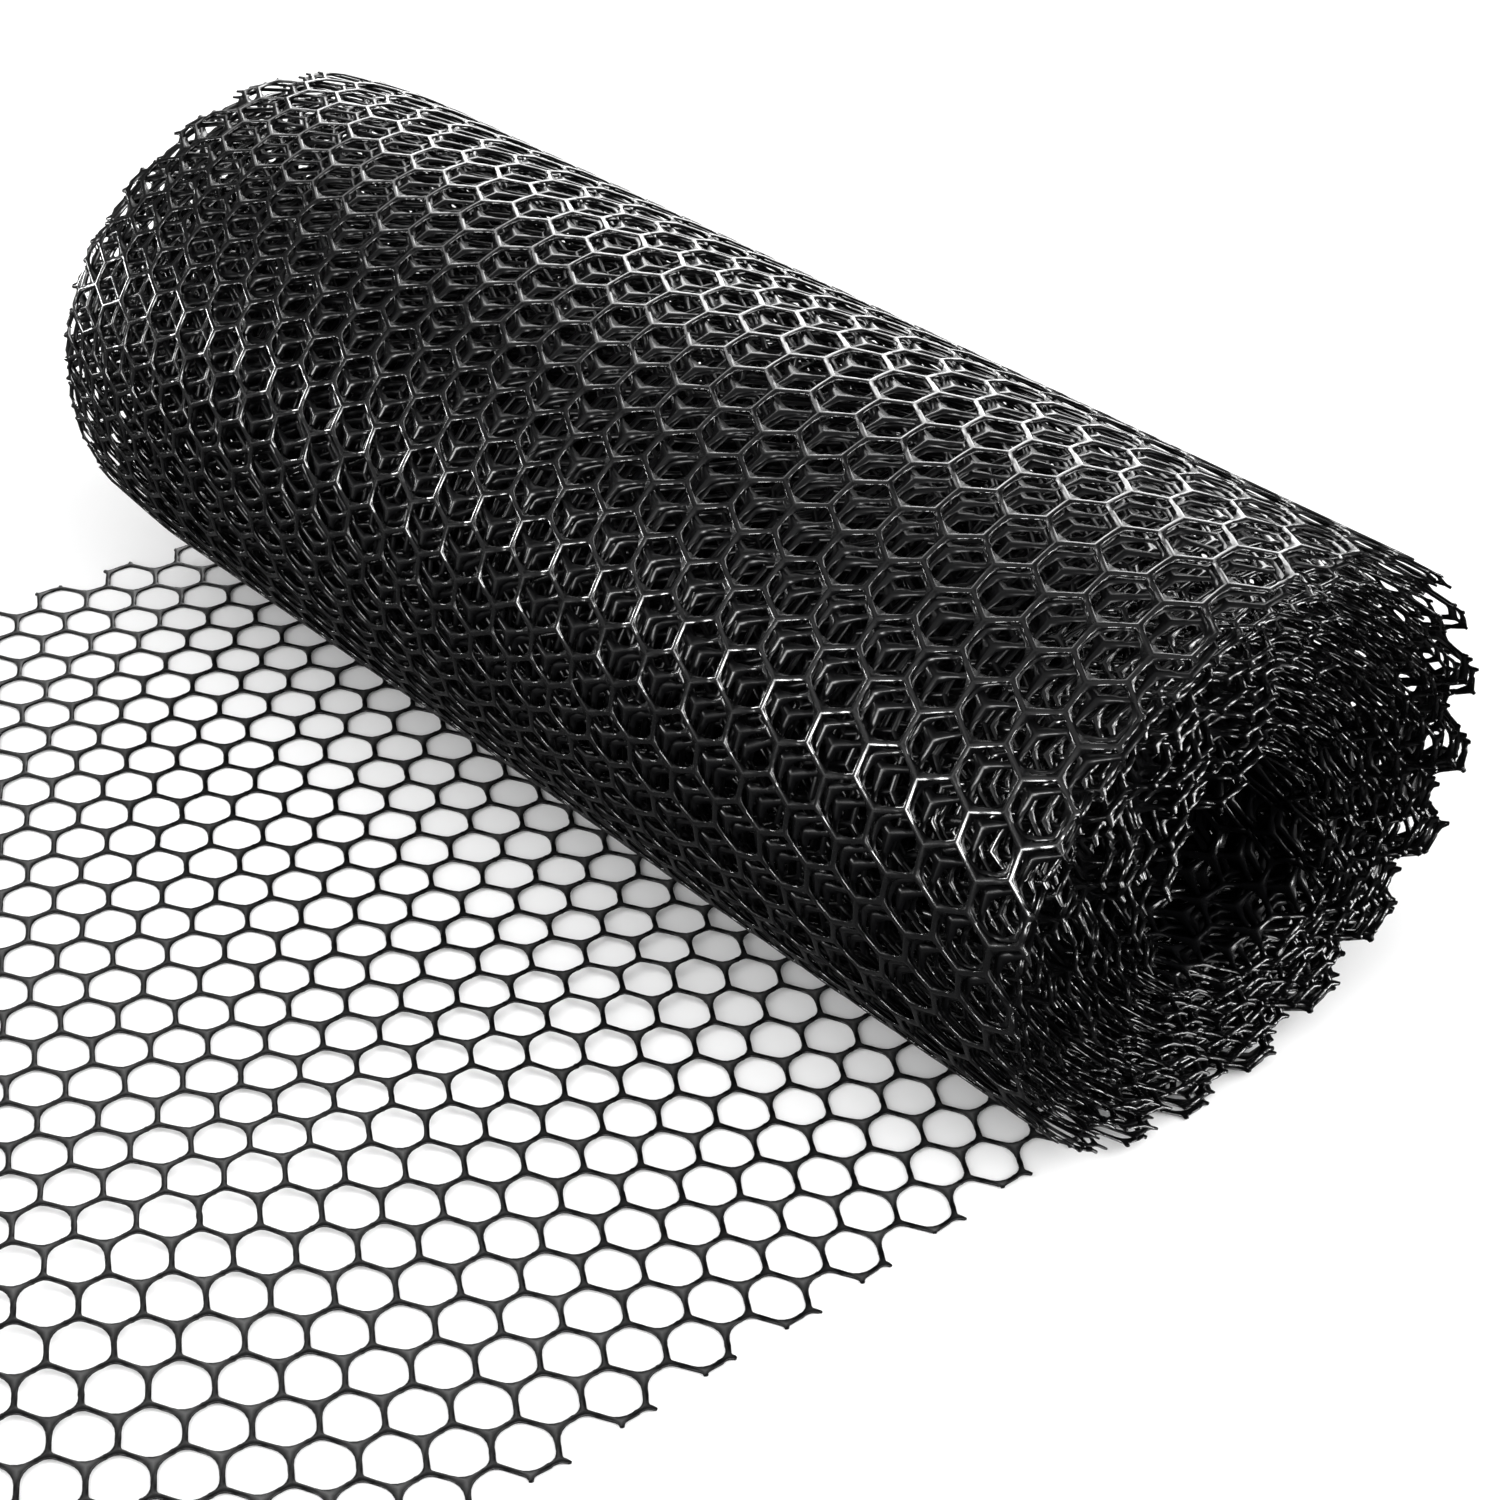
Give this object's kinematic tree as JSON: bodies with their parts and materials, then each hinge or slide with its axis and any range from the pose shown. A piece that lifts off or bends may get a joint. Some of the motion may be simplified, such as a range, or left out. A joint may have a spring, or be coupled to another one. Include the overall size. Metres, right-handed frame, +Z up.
{
  "type": "roll of plastic net",
  "caption": "Wound roll of black plastic net with hexagonal cells, lying on the floor with its outer end unrolled flat in front of it, for reinforcing grass.",
  "frame": {"origin": "on the floor, at the middle of the box around the whole object", "axes": "+Z up, +X along the roll, the loose end lies towards -Y"},
  "size_m": [0.437, 0.4194, 0.1698],
  "materials": {
    "net": "gloss"
  },
  "bodies": {
    "root": {"roll": "net", "loose_end": "net"}
  },
  "joints": []
}
